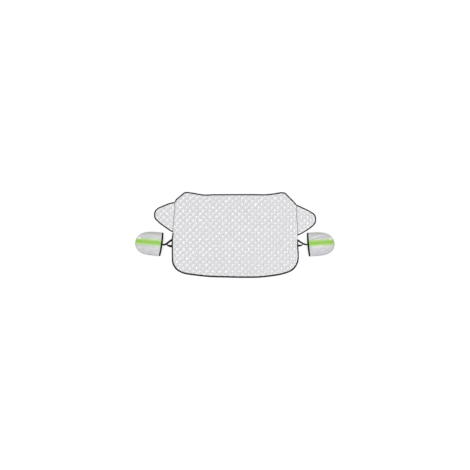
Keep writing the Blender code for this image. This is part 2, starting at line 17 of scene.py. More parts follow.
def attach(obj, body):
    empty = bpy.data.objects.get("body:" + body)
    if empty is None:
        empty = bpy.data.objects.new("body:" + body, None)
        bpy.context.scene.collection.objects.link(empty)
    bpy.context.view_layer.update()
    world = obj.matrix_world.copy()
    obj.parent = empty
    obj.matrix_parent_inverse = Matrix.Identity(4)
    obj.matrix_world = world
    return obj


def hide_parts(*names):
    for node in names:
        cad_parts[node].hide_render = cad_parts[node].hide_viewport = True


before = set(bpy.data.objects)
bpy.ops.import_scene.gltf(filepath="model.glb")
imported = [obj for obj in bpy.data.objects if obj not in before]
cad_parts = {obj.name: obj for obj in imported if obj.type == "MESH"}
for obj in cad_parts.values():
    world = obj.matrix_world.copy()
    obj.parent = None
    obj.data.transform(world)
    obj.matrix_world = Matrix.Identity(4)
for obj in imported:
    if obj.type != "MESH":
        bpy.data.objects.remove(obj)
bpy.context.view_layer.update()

# The photograph's view: metres for each pixel, and the pixel that the model's origin is seen at
METRES_PER_PIXEL = 0.01159
PHOTO_SIZE = 470
ORIGIN_PIXEL = (235.45, 235.0)
LENS_MM = 85
SENSOR_MM = 36

# Quilting: the same diamonds as in the pads' solids
DIAMOND_WIDTH = 0.0760
DIAMOND_HEIGHT = 0.0744
DIAMOND_MIDDLE = (0.0350, 0.0250)
HALF_DIAMOND = (DIAMOND_WIDTH / 2, DIAMOND_HEIGHT / 2)
CELL_STEPS = 14  # points along each side of a diamond
UNDER_CELL_STEPS = 4
PUFF = 0.0058
PUFF_SPREAD = 0.24  # how much the diamonds differ in height
UNEVEN = 0.08  # how much the filling's lumps change that height
LUMPS = 38  # the lumps' noise, in turns to a metre
UNDER_GROOVE = 0.0010
UNDER_STEP = 0.0030  # from the pressed edge down to the ground
FADE = 0.0200  # the diamonds rise to their full height over this distance from a pressed edge
RING_GAP = 0.0025  # the diamonds' grid stops this far from the pad's rings of points

# The simulated patch of quilting: cloth that hangs slack between its seams, upside down. It is
# this many times larger than the real quilting, at which the simulation is stable.
PATCH_CELLS = 4
PATCH_STEPS = 16
PATCH_SCALE = 20
PATCH_FRAMES = 26
SLACK = 0.03
SIMULATED_SHARE = 0.4  # of each diamond's height. The rest is a plain crown.
CROWN_POWER = 0.8

# The pads' pressed edge and the tape folded round it
PAD_BOTTOM = 0.0011
PAD_TOP = 0.0031
TAPE_LIP = 0.0135
WIDE_TAPE_LIP = 0.0155  # round the bottom
TAPE_WALL = 0.0008
TAPE_TOP = 0.0042
TAPE_OUT = 0.0011
WIDE_TAPE_OUT = 0.0034
WIDE_FROM = (-0.24, -0.36)  # the y between which the tape round the bottom widens
GAP = 0.0003
PRESSED = 0.0165
SEAM_PRESSED = 0.0050
SEAM_LINE = 0.0060  # a flap's seam darkens the cloth up to here
EDGE_STEP = 0.0045
SHARP_TURN = math.radians(15)

# Stitches
STITCH_FROM_LIP = 0.0025
SEAM_STITCH_IN = 0.0025
STITCH_PITCH = 0.0040
STITCH_LENGTH = 0.0029
THREAD = 0.0005
THREAD_SIDES = 6
# The rings round a stitch: how far along it each lies, and its size
THREAD_RINGS = ((0.0, 0.35), (0.18, 0.9), (0.5, 1.0), (0.82, 0.9), (1.0, 0.35))

# Mirror pouches
POUCH_LENGTH = 0.2900
POUCH_WIDTH = 0.2730
TIP_POWER = 4.0
SIDE_POWER = 2.0
POUCH_CLOTH = 0.0010
POUCH_BORDER = 0.0060
SEAM_Z = 0.0125
POUCH_RISE = 0.0340
MOUTH_RISE = 0.0230
FILL_SHARE = 0.35
DOME_POWER = 2.5
BELLY_POWER = 4.0
LENGTH_POWER = 3.0
MOUTH_END = 0.0150
STRIPE_WIDTH = 0.0580
STRIPE_OFFSET = 0.0150
STRIPE_THICKNESS = 0.0005
GATHER_HEIGHT = 0.0019
GATHER_PITCH = 0.0125
GATHER_REACH = 0.0450
FOLD_HEIGHT = 0.0042
CRUMPLE_HEIGHT = 0.0014
LOWEST_WRINKLE = -0.0015
RIM_RIPPLE = 0.0004
HEM_WIDTH = 0.0175
HEM_EXTRA = 0.0006
HEM_GATHER = 0.0005
HEM_GATHER_PITCH = 0.0061
POUCH_COLUMNS = 150
POUCH_ROWS = 100


class Pouch(NamedTuple):
    """Where a mirror pouch lies: the middle of its mouth, and the mouth's line."""

    name: str
    sign: int  # of x
    x: float
    y: float
    tilt: float
    skew: float  # of the mouth, and its bow towards the panel
    bow: float
    tip_skew: float
    upper_root: float  # the y of its two straps at the panel's edge
    lower_root: float
    landing_run: tuple  # from the hem to where the upper strap bends
    seed: float


POUCHES = (
    Pouch(
        "left", -1, -0.8695, -0.1073, math.radians(4.8), -0.0547, 0.0070, -0.0340,
        -0.0580, -0.1286, (-0.0260, -0.0160), 3.7,
    ),
    Pouch(
        "right", 1, 0.8563, -0.1103, math.radians(3.2), -0.0318, 0.0048, -0.0500,
        -0.0640, -0.1235, (-0.0400, -0.0010), 11.2,
    ),
)

# Elastic straps: widths at the panel and at the other end
STRAP_THICKNESS = 0.0014
BESIDE_PANEL = 0.3  # the panel's sides lie further out than this
UPPER_ROOT_RUN = (0.0460, -0.0300)  # from the panel to where the upper strap bends
UPPER_WIDTHS = {"left": (0.0240, 0.0195), "right": (0.0205, 0.0175)}
LOWER_WIDTHS = {"left": (0.0320, 0.0200), "right": (0.0260, 0.0120)}
LOWER_TURN = math.radians(46)


# Materials


class Shader:
    """A material whose texture nodes are added and joined with short calls."""

    def __init__(self, name, roughness, metallic=0.0, **sockets):
        self.material = bpy.data.materials.new(name)
        self.material.use_nodes = True
        self.nodes = self.material.node_tree.nodes
        self.links = self.material.node_tree.links
        self.surface = self.nodes["Principled BSDF"]
        self.surface.inputs["Roughness"].default_value = roughness
        self.surface.inputs["Metallic"].default_value = metallic
        for socket, value in sockets.items():
            self.surface.inputs[socket.replace("_", " ")].default_value = value

    def put(self, socket, value):
        """Joins a node's output to the socket, or sets the socket to a number or colour."""
        if isinstance(value, bpy.types.NodeSocket):
            self.links.new(value, socket)
        elif isinstance(value, tuple) and len(socket.default_value) == 4:
            socket.default_value = (*value, 1.0)
        else:
            socket.default_value = value

    def maths(self, operation, *values):
        node = self.nodes.new("ShaderNodeMath")
        node.operation = operation
        for socket, value in zip(node.inputs, values):
            self.put(socket, value)
        return node.outputs[0]

    def place(self):
        return self.nodes.new("ShaderNodeTexCoord").outputs["Object"]

    def flat(self):
        return self.nodes.new("ShaderNodeTexCoord").outputs["UV"]

    def parts(self, vector):
        node = self.nodes.new("ShaderNodeSeparateXYZ")
        self.put(node.inputs[0], vector)
        return node.outputs

    def moved(self, vector, scale=(1, 1, 1), turn=0.0):
        node = self.nodes.new("ShaderNodeMapping")
        self.put(node.inputs["Vector"], vector)
        node.inputs["Scale"].default_value = scale
        node.inputs["Rotation"].default_value = (0, 0, turn)
        return node.outputs[0]

    def noise(self, vector, scale, detail=2.0, rough=0.5):
        node = self.nodes.new("ShaderNodeTexNoise")
        names = ("Vector", "Scale", "Detail", "Roughness")
        for name, value in zip(names, (vector, scale, detail, rough)):
            self.put(node.inputs[name], value)
        return node.outputs["Fac"]

    def attribute(self, name):
        node = self.nodes.new("ShaderNodeAttribute")
        node.attribute_name = name
        return node.outputs["Fac"]

    def ranged(self, value, low, high, to_low=0.0, to_high=1.0):
        """The value from low to high carried softly to the other two numbers."""
        node = self.nodes.new("ShaderNodeMapRange")
        node.interpolation_type = "SMOOTHSTEP"
        for socket, number in zip(node.inputs, (value, low, high, to_low, to_high)):
            self.put(socket, number)
        return node.outputs[0]

    def mix(self, share, one, two):
        """The first colour, with that share of the second."""
        node = self.nodes.new("ShaderNodeMix")
        node.data_type = "RGBA"
        for socket, value in ((0, share), (6, one), (7, two)):
            self.put(node.inputs[socket], value)
        return node.outputs[2]

    def bump(self, height, distance, strength=1.0, after=None):
        node = self.nodes.new("ShaderNodeBump")
        self.put(node.inputs["Height"], height)
        node.inputs["Distance"].default_value = distance
        node.inputs["Strength"].default_value = strength
        if after:
            self.put(node.inputs["Normal"], after)
        return node.outputs[0]

    def finish(self, colour, normal, roughness=None):
        self.put(self.surface.inputs["Base Color"], colour)
        self.put(self.surface.inputs["Normal"], normal)
        if roughness:
            self.put(self.surface.inputs["Roughness"], roughness)
        return self.material

    def weave(self, vector, pitch):
        """The height of a plain weave whose threads lie pitch apart."""
        x, y, _ = self.parts(self.moved(vector, (math.pi / pitch,) * 3))
        across = self.maths("SINE", x)
        along = self.maths("SINE", y)
        over = self.maths("ABSOLUTE", self.maths("MULTIPLY", across, along))
        turn = self.maths("SINE", self.maths("ADD", x, y))
        return self.maths("ADD", over, self.maths("MULTIPLY", turn, 0.25))


CLOTH_WHITE = (0.766, 0.766, 0.784)
# The darker grey of the painted shade along the grooves. The diagonal streaks take it too.
GROOVE_SHADE_GREY = (0.638, 0.638, 0.655)
CLOTH_PATCH = (0.70, 0.70, 0.74)
THREAD_GREY = (0.42, 0.42, 0.43)
SEAM_GREY = (0.250, 0.250, 0.260)
GROOVES_APART = DIAMOND_WIDTH * DIAMOND_HEIGHT / math.hypot(DIAMOND_WIDTH, DIAMOND_HEIGHT)
# How far to each side of the two families of grooves the painted shade reaches, and how strong it is
PAINTED_GROOVE_SHADES = ((0.0055, 1.0), (0.0035, 0.3))


def quilted_cloth():
    """Coated cloth with a soft silver sheen, stitched along its grooves, with painted shade along them.
    """
    shader = Shader("quilted_cloth", 0.23, 0.12, Specular_IOR_Level=0.5)
    place = shader.place()
    over_x, over_y = (
        shader.maths("DIVIDE", shader.maths("SUBTRACT", value, middle), half)
        for value, middle, half in zip(shader.parts(place), DIAMOND_MIDDLE, HALF_DIAMOND)
    )
    one = shader.maths("ADD", over_x, over_y)
    two = shader.maths("SUBTRACT", over_x, over_y)
    shades = []
    stitches = []
    for across, along, (reach, strength) in zip((one, two), (two, one), PAINTED_GROOVE_SHADES):
        share = shader.maths("FRACT", shader.maths("MULTIPLY", across, 0.5))
        share = shader.maths("ABSOLUTE", shader.maths("SUBTRACT", share, 0.5))
        near = shader.maths("MULTIPLY", share, GROOVES_APART)
        shades.append(shader.ranged(near, 0.0, reach, strength, 0.0))
        dashes = shader.maths("FRACT", shader.maths("DIVIDE", along, 2 * STITCH_PITCH / GROOVES_APART))
        dashes = shader.maths("LESS_THAN", dashes, STITCH_LENGTH / STITCH_PITCH)
        stitches.append(shader.maths("MULTIPLY", dashes, shader.ranged(near, 0.0, THREAD, 1.0, 0.0)))
    groove_shade = shader.maths("MAXIMUM", *shades)
    thread = shader.maths("MAXIMUM", *stitches)

    streaks = shader.noise(shader.moved(place, (14, 150, 1), math.radians(45)), 1.0, 3.0)
    patches = shader.noise(place, 9.0, 3.0)
    # Painted shade along the grooves, stronger along one family than along the other.
    colour = shader.mix(groove_shade, CLOTH_WHITE, GROOVE_SHADE_GREY)
    # The diagonal streaks are a random tone, in the grey of the painted groove shade.
    colour = shader.mix(shader.ranged(streaks, 0.35, 0.75, 0.0, 0.16), colour, GROOVE_SHADE_GREY)
    colour = shader.mix(shader.ranged(patches, 0.4, 0.8, 0.0, 0.12), colour, CLOTH_PATCH)
    colour = shader.mix(thread, colour, THREAD_GREY)
    colour = shader.mix(shader.attribute("sewn"), colour, SEAM_GREY)
    weave = shader.bump(shader.weave(place, 0.0011), 0.00003)
    crinkle = shader.bump(shader.noise(place, 160.0, 4.0, 0.6), 0.0003, 0.5, weave)
    normal = shader.bump(thread, THREAD / 2, 1.0, crinkle)
    return shader.finish(colour, normal, shader.ranged(patches, 0.2, 0.8, 0.24, 0.30))


def lining():
    """The underside's brushed felt."""
    shader = Shader("felt_lining", 0.95, Sheen_Weight=0.4, Specular_IOR_Level=0.2)
    place = shader.place()
    fluff = shader.noise(place, 900.0, 4.0, 0.7)
    patches = shader.noise(place, 30.0, 3.0)
    colour = shader.mix(fluff, (0.60, 0.60, 0.60), (0.80, 0.80, 0.80))
    colour = shader.mix(shader.ranged(patches, 0.3, 0.8, 0.0, 0.2), colour, (0.55, 0.55, 0.56))
    return shader.finish(colour, shader.bump(fluff, 0.0006))


def binding_tape():
    """Dark woven tape, ribbed across."""
    shader = Shader("binding_tape", 0.82, Sheen_Weight=0.03, Specular_IOR_Level=0.12)
    flat = shader.flat()
    worn = shader.noise(shader.place(), 60.0, 3.0)
    fine = shader.weave(flat, 0.0007)
    colour = shader.mix(fine, (0.005, 0.005, 0.006), (0.016, 0.016, 0.018))
    colour = shader.mix(shader.ranged(worn, 0.35, 0.8, 0.0, 0.35), colour, (0.032, 0.032, 0.035))
    return shader.finish(colour, shader.bump(fine, 0.00018))


TAFFETA_SILVER = (0.685, 0.688, 0.680)
# Painted violet and blue reflections, laid on the silver in patches
PAINTED_VIOLET_REFLECTION = (0.655, 0.640, 0.700)
PAINTED_BLUE_REFLECTION = (0.635, 0.655, 0.690)
# A painted green reflection of the stripe on the cloth beside it, and how far it reaches
PAINTED_STRIPE_REFLECTION = (0.54, 0.73, 0.39)
PAINTED_REFLECTION_REACH = (0.030, 0.058)  # from the stripe's middle
TOP_SHADE = (0.50, 0.50, 0.43)
TOP_SHADE_V = (0.104, 0.114)
# A painted highlight near the tip, above the stripe: its colour, its (u, v) and the radii over which it
# fades
PAINTED_TIP_HIGHLIGHT = (0.92, 0.97, 0.82)
PAINTED_TIP_HIGHLIGHT_UV = (0.256, 0.048)
PAINTED_TIP_HIGHLIGHT_RADII = (0.009, 0.028)
SEAM_SHADE = (0.27, 0.27, 0.22)


def taffeta():
    """Thin silver cloth of the mirror pouches, crumpled, with violet and blue reflections.

    Its violet and blue reflections are painted into its colour. Beside the stripe it has a painted
    green reflection of the stripe, where it folds over at its upper side a painted shade, and near
    its tip a painted highlight.
    """
    shader = Shader("silver_taffeta", 0.42, 0.20, Specular_IOR_Level=0.4)
    place = shader.place()
    tint = shader.noise(shader.moved(place, (1, 1.6, 1)), 17.0, 2.0)
    other = shader.noise(shader.moved(place, (1.5, 1, 1), 0.7), 23.0, 2.0)
    # Painted violet and blue reflections, in patches.
    colour = shader.mix(shader.ranged(tint, 0.40, 0.62), TAFFETA_SILVER, PAINTED_VIOLET_REFLECTION)
    colour = shader.mix(shader.ranged(other, 0.50, 0.70, 0.0, 0.6), colour, PAINTED_BLUE_REFLECTION)
    flat = shader.flat()
    u, v, _ = shader.parts(flat)
    from_stripe = shader.maths("ABSOLUTE", shader.maths("SUBTRACT", v, STRIPE_OFFSET))
    # A painted green reflection of the stripe on the cloth beside it.
    colour = shader.mix(shader.ranged(from_stripe, *PAINTED_REFLECTION_REACH, 0.85, 0.0), colour, PAINTED_STRIPE_REFLECTION)
    colour = shader.mix(shader.ranged(v, *TOP_SHADE_V, 0.0, 0.5), colour, TOP_SHADE)
    # A painted highlight near the tip, above the stripe.
    squares = [
        shader.maths("POWER", shader.maths("SUBTRACT", value, middle), 2.0)
        for value, middle in zip((u, v), PAINTED_TIP_HIGHLIGHT_UV)
    ]
    away = shader.maths("SQRT", shader.maths("ADD", *squares))
    colour = shader.mix(shader.ranged(away, *PAINTED_TIP_HIGHLIGHT_RADII, 0.9, 0.0), colour, PAINTED_TIP_HIGHLIGHT)
    colour = shader.mix(shader.maths("MULTIPLY", shader.attribute("seam"), 0.75), colour, SEAM_SHADE)
    weave = shader.bump(shader.weave(flat, 0.0006), 0.00005)
    crumple = shader.noise(shader.moved(place, (1, 1.3, 1)), 75.0, 4.0, 0.62)
    return shader.finish(colour, shader.bump(crumple, 0.0016, 0.6, weave))


def reflective_tape():
    """Glossy lime tape with small cells under its surface, deeper in colour along its middle."""
    shader = Shader(
        "reflective_tape", 0.5, Coat_Weight=0.12, Coat_Roughness=0.3, Specular_IOR_Level=0.3
    )
    flat = shader.flat()
    from_middle = shader.maths("ABSOLUTE", shader.parts(flat)[1])
    colour = shader.mix(
        shader.ranged(from_middle, 0.008, 0.027), (0.300, 0.590, 0.065), (0.470, 0.750, 0.260)
    )
    streaks = shader.noise(shader.moved(flat, (9, 130, 1)), 1.0, 3.0)
    colour = shader.mix(shader.ranged(streaks, 0.45, 0.75, 0.0, 0.5), colour, (0.50, 0.78, 0.28))
    cells = shader.nodes.new("ShaderNodeTexVoronoi")
    cells.feature = "DISTANCE_TO_EDGE"
    shader.put(cells.inputs["Vector"], flat)
    cells.inputs["Scale"].default_value = 330.0
    cells.inputs["Randomness"].default_value = 0.12
    walls = shader.ranged(cells.outputs["Distance"], 0.0, 0.10, 1.0, 0.0)
    colour = shader.mix(shader.maths("MULTIPLY", walls, 0.25), colour, (0.62, 0.90, 0.36))
    ripple = shader.noise(shader.place(), 70.0, 3.0)
    normal = shader.bump(ripple, 0.0010, 0.4, shader.bump(walls, 0.00008))
    return shader.finish(colour, normal, shader.ranged(ripple, 0.3, 0.8, 0.42, 0.58))


def elastic():
    """Black knitted elastic, ribbed along its length."""
    shader = Shader("elastic", 0.88, Sheen_Weight=0.02, Specular_IOR_Level=0.08)
    flat = shader.flat()
    along, across, _ = shader.parts(flat)
    ribs = shader.maths("SINE", shader.maths("MULTIPLY", across, 2 * math.pi / 0.0016))
    knit = shader.maths("SINE", shader.maths("MULTIPLY", along, 2 * math.pi / 0.0011))
    height = shader.maths("ADD", ribs, shader.maths("MULTIPLY", knit, 0.4))
    colour = shader.mix(shader.ranged(height, -1.0, 1.2), (0.003, 0.003, 0.004), (0.014, 0.014, 0.015))
    return shader.finish(colour, shader.bump(height, 0.00015))


def thread(name, colour):
    """Spun thread, twisted."""
    shader = Shader(name, 0.6, Sheen_Weight=0.3)
    twist = shader.noise(shader.place(), 2500.0, 2.0)
    darker = tuple(0.6 * value for value in colour)
    return shader.finish(shader.mix(twist, darker, colour), shader.bump(twist, 0.0001))


# Meshes


def add_piece(name, vertices, faces, material, replaced=(), uvs=None):
    """A smooth mesh object that rides with the cover. uvs are the (u, v) of each vertex."""
    mesh = bpy.data.meshes.new(name)
    mesh.from_pydata([tuple(vertex) for vertex in vertices], [], faces)
    if uvs is not None:
        layer = mesh.uv_layers.new(name="flat")
        corners = np.zeros(len(mesh.loops), dtype=np.int32)
        mesh.loops.foreach_get("vertex_index", corners)
        layer.data.foreach_set("uv", np.asarray(uvs, dtype=np.float32)[corners].ravel())
    tidy = bmesh.new()
    tidy.from_mesh(mesh)
    bmesh.ops.recalc_face_normals(tidy, faces=tidy.faces[:])
    tidy.to_mesh(mesh)
    tidy.free()
    mesh.shade_smooth()
    mesh.materials.append(material)
    piece = bpy.data.objects.new(name, mesh)
    bpy.context.scene.collection.objects.link(piece)
    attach(piece, "root")
    if replaced:
        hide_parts(*replaced)
    return piece


def lengths_along(points):
    """How far along a path each of its points lies."""
    steps = np.linalg.norm(np.diff(points, axis=0), axis=1)
    return np.concatenate([[0.0], np.cumsum(steps)])


def strip(sections, closed=False):
    """The vertices, faces and (u, v) of a tube through the sections, each as many points."""
    sections = np.asarray(sections)
    count, around, _ = sections.shape
    faces = []
    for i in range(count if closed else count - 1):
        near, far = i * around, (i + 1) % count * around
        for j in range(around):
            k = (j + 1) % around
            faces.append((near + j, near + k, far + k, far + j))
    if not closed:
        faces.append(tuple(range(around)))
        faces.append(tuple(range((count - 1) * around, count * around)))
    lengths = lengths_along(sections.mean(axis=1))
    rims = np.linalg.norm(np.diff(sections, axis=1), axis=2)
    across = np.concatenate([np.zeros((count, 1)), np.cumsum(rims, axis=1)], axis=1)
    uvs = np.stack([np.repeat(lengths[:, None], around, axis=1), across], axis=2)
    return sections.reshape(-1, 3), faces, uvs.reshape(-1, 2)


# Outlines, read from the solids


def wall_outline(node):
    """The outline of a flat node, counterclockwise, from its upright walls."""
    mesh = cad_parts[node].data
    beside = {}
    for face in mesh.polygons:
        if abs(face.normal.z) > 0.1:
            continue
        ends = {tuple(round(value, 5) for value in mesh.vertices[i].co.xy) for i in face.vertices}
        if len(ends) == 2:
            one, two = ends
            beside.setdefault(one, set()).add(two)
            beside.setdefault(two, set()).add(one)
    start = min(beside)
    loop = [start]
    before = None
    while True:
        ahead = [spot for spot in beside[loop[-1]] if spot != before]
        before = loop[-1]
        if ahead[0] == start:
            break
        loop.append(ahead[0])
    loop = np.array(loop)
    x, y = loop.T
    turned = np.sum(x * np.roll(y, -1) - np.roll(x, -1) * y) < 0
    return loop[::-1] if turned else loop


def flat_tree(points):
    """A tree in which the nearest of these points is found."""
    tree = kdtree.KDTree(len(points))
    for i, (x, y) in enumerate(points):
        tree.insert((x, y, 0), i)
    tree.balance()
    return tree


def taped_edges(outline, binding):
    """For each edge of the outline, whether this binding is folded round it."""
    tree = flat_tree([vertex.co.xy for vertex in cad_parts[binding].data.vertices])
    near = [tree.find((x, y, 0))[2] < 2 * GAP for x, y in outline]
    return [one and two for one, two in zip(near, near[1:] + near[:1])]


def curve(before, start, end, after, shares):
    """Points from start towards end on a smooth curve, which leaves and arrives along its chords."""
    reach = np.linalg.norm(end - start)
    leaving = (end - before) / np.linalg.norm(end - before) * reach
    arriving = (after - start) / np.linalg.norm(after - start) * reach
    t = shares[:, None]
    return (
        (2 * t**3 - 3 * t**2 + 1) * start
        + (t**3 - 2 * t**2 + t) * leaving
        + (3 * t**2 - 2 * t**3) * end
        + (t**3 - t**2) * arriving
    )


def smooth_outline(outline, step):
    """A finer outline through the same points, and the old edge that each new edge lies on."""
    count = len(outline)
    ways = np.roll(outline, -1, axis=0) - outline
    headings = np.arctan2(ways[:, 1], ways[:, 0])
    turns = np.abs((headings - np.roll(headings, 1) + math.pi) % (2 * math.pi) - math.pi)
    fine = []
    origin = []
    for i in range(count):
        j = (i + 1) % count
        before = outline[i - 1] if turns[i] < SHARP_TURN else 2 * outline[i] - outline[j]
        after = outline[(i + 2) % count] if turns[j] < SHARP_TURN else 2 * outline[j] - outline[i]
        steps = max(1, math.ceil(np.linalg.norm(ways[i]) / step))
        fine.append(curve(before, outline[i], outline[j], after, np.arange(steps) / steps))
        origin += [i] * steps
    return np.concatenate(fine), origin


def normals_of(path, closed=False):
    """The way to the left at each point, longer at a corner. A closed path's is the way in."""
    ways = np.roll(path, -1, axis=0) - path
    if not closed:
        ways[-1] = ways[-2]
    ways /= np.linalg.norm(ways, axis=1)[:, None]
    left = np.stack([-ways[:, 1], ways[:, 0]], axis=1)
    before = np.roll(left, 1, axis=0)
    if not closed:
        before[0] = left[0]
    both = before + left
    both /= np.linalg.norm(both, axis=1)[:, None]
    return both / np.maximum((both * left).sum(axis=1), 0.5)[:, None]


class Edge:
    """A fine loop or path, to measure how far points are from it and on which side."""

    def __init__(self, points, ways_in):
        self.points = points
        self.ways_in = ways_in
        self.tree = flat_tree(points)

    def depths(self, points):
        """The distance of each point inwards from the edge."""
        depths = np.empty(len(points))
        for i, (x, y) in enumerate(points):
            _, near, distance = self.tree.find((x, y, 0))
            run = (x, y) - self.points[near]
            depths[i] = math.copysign(distance, run @ self.ways_in[near])
        return depths


# Quilted pads


def diamond_steps(points):
    """Places in the two directions across the grooves. Whole odd numbers are on a groove."""
    over = (points - DIAMOND_MIDDLE) / HALF_DIAMOND
    return over[:, 0] + over[:, 1], over[:, 0] - over[:, 1]


def diamond_grid(loop, steps):
    """Points on and between the grooves round a loop, steps to each side of a diamond."""
    low, high = loop.min(axis=0), loop.max(axis=0)
    reach = math.ceil(np.abs(np.concatenate([low, high]) / min(HALF_DIAMOND)).max() * 2)
    shares = np.arange(-reach * steps // 2, reach * steps // 2 + 1) * 2 / steps + 1
    one, two = np.meshgrid(shares, shares)
    over = np.stack([(one + two) / 2, (one - two) / 2], axis=2).reshape(-1, 2)
    points = over * HALF_DIAMOND + DIAMOND_MIDDLE
    return points[((points > low) & (points < high)).all(axis=1)]


def hanging_cloth():
    """A patch of cloth, slack between the seams that it is held by, after it has come to rest.

    Returns the depth of its points in rows and columns. The seams are rows and columns too.
    """
    count = PATCH_CELLS * PATCH_STEPS + 1
    steps = np.arange(count) * 2 / PATCH_STEPS
    one, two = np.meshgrid(steps, steps)
    on_seam = np.arange(count) % PATCH_STEPS == 0
    held = on_seam[:, None] | on_seam[None]
    x = (one + two) / 2 * DIAMOND_WIDTH / 2 * PATCH_SCALE
    y = (one - two) / 2 * DIAMOND_HEIGHT / 2 * PATCH_SCALE
    uneven = np.array([[noise.noise((3.1 * a, 3.1 * b, 0.0)) for b in steps] for a in steps])
    z = np.where(held, 0, uneven * PUFF * PATCH_SCALE / 6)
    faces = [
        (i * count + j, i * count + j + 1, (i + 1) * count + j + 1, (i + 1) * count + j)
        for i in range(count - 1)
        for j in range(count - 1)
    ]
    mesh = bpy.data.meshes.new("patch")
    mesh.from_pydata(np.stack([x, y, z], axis=2).reshape(-1, 3).tolist(), [], faces)
    patch = bpy.data.objects.new("patch", mesh)
    bpy.context.scene.collection.objects.link(patch)
    seams = patch.vertex_groups.new(name="seams")
    seams.add(np.flatnonzero(held.ravel()).tolist(), 1.0, "REPLACE")
    cloth = patch.modifiers.new("cloth", "CLOTH")
    cloth.collision_settings.use_collision = False
    settings = cloth.settings
    settings.quality = 5
    settings.mass = 0.3
    settings.tension_stiffness = settings.compression_stiffness = 60
    settings.shear_stiffness = 20
    settings.bending_stiffness = 0.05
    settings.tension_damping = settings.compression_damping = settings.shear_damping = 25
    settings.air_damping = 5
    settings.shrink_min = -SLACK
    settings.vertex_group_mass = "seams"
    for frame_number in range(1, PATCH_FRAMES + 1):
        bpy.context.scene.frame_set(frame_number)
    hung = patch.evaluated_get(bpy.context.evaluated_depsgraph_get())
    places = np.empty(3 * len(mesh.vertices))
    hung.data.vertices.foreach_get("co", places)
    bpy.data.objects.remove(patch)
    bpy.data.meshes.remove(mesh)
    bpy.context.scene.frame_set(1)
    return -places[2::3].reshape(count, count)


def plain_diamonds():
    """How full one plain diamond is, from 0 on its seams to 1 in its middle."""
    across = np.linspace(-1, 1, PATCH_STEPS + 1) ** 2
    return ((1 - across[:, None]) * (1 - across[None]))[None] ** CROWN_POWER


def simulated_diamonds():
    """How full each diamond of the simulated patch is, from 0 on its seams to about 1."""
    depths = hanging_cloth()
    cells = [
        depths[i : i + PATCH_STEPS + 1, j : j + PATCH_STEPS + 1]
        for i in range(0, PATCH_CELLS * PATCH_STEPS, PATCH_STEPS)
        for j in range(0, PATCH_CELLS * PATCH_STEPS, PATCH_STEPS)
    ]
    hung = np.array([np.clip(cell / cell.max(), 0, 1) for cell in cells])
    return SIMULATED_SHARE * hung + (1 - SIMULATED_SHARE) * plain_diamonds()


DIAMONDS = simulated_diamonds()


def pillows(points):
    """How full the quilting is at each point, from 0 in a groove to about 1 on a crown.

    Each diamond of a pad is one of the simulated ones, and every other one is turned over.
    """
    one, two = diamond_steps(points)
    cell_one = np.floor((one + 1) / 2).astype(int)
    cell_two = np.floor((two + 1) / 2).astype(int)
    column = (one + 1 - 2 * cell_one) / 2
    row = (two + 1 - 2 * cell_two) / 2
    column = np.where((cell_one + 2 * cell_two) % 3 == 0, 1 - column, column) * PATCH_STEPS
    row = np.where((2 * cell_one + cell_two) % 5 < 2, 1 - row, row) * PATCH_STEPS
    pick = (7 * cell_one + 13 * cell_two + 3 * cell_one * cell_two) % len(DIAMONDS)
    i = np.clip(np.floor(row).astype(int), 0, PATCH_STEPS - 1)
    j = np.clip(np.floor(column).astype(int), 0, PATCH_STEPS - 1)
    up, over = row - i, column - j
    full = sum(
        DIAMONDS[pick, i + a, j + b] * (up if a else 1 - up) * (over if b else 1 - over)
        for b in (0, 1)
        for a in (0, 1)
    )
    spread = np.array(
        [noise.noise((7.3 * a + 0.5, 3.9 * b + 0.5, 1.7)) for a, b in zip(cell_one, cell_two)]
    )
    uneven = np.array([noise.noise((x * LUMPS, y * LUMPS, 5.3)) for x, y in points])
    return full * (1 + PUFF_SPREAD * spread + UNEVEN * uneven)


def triangulated(loop, inner):
    """The triangles over a loop's inside through the inner points, and their points."""
    count = len(loop)
    spots = [Vector(point) for point in np.concatenate([loop, inner])]
    corners, _, triangles, origins, _, owners = geometry.delaunay_2d_cdt(
        spots, [], [list(range(count))], 1, 1e-6, True
    )
    rim = {}
    for i, sources in enumerate(origins):
        rim.update({source: i for source in sources if source < count})
    kept = [triangle for triangle, owner in zip(triangles, owners) if owner]
    return np.array([corner[:] for corner in corners]), kept, [rim[i] for i in range(count)]


def ring_points(edge, loop, depth):
    """The loop moved inwards, without the points that come too near another stretch."""
    points = loop + normals_of(loop, closed=True) * depth
    return points[edge.depths(points) > depth - 0.0002]


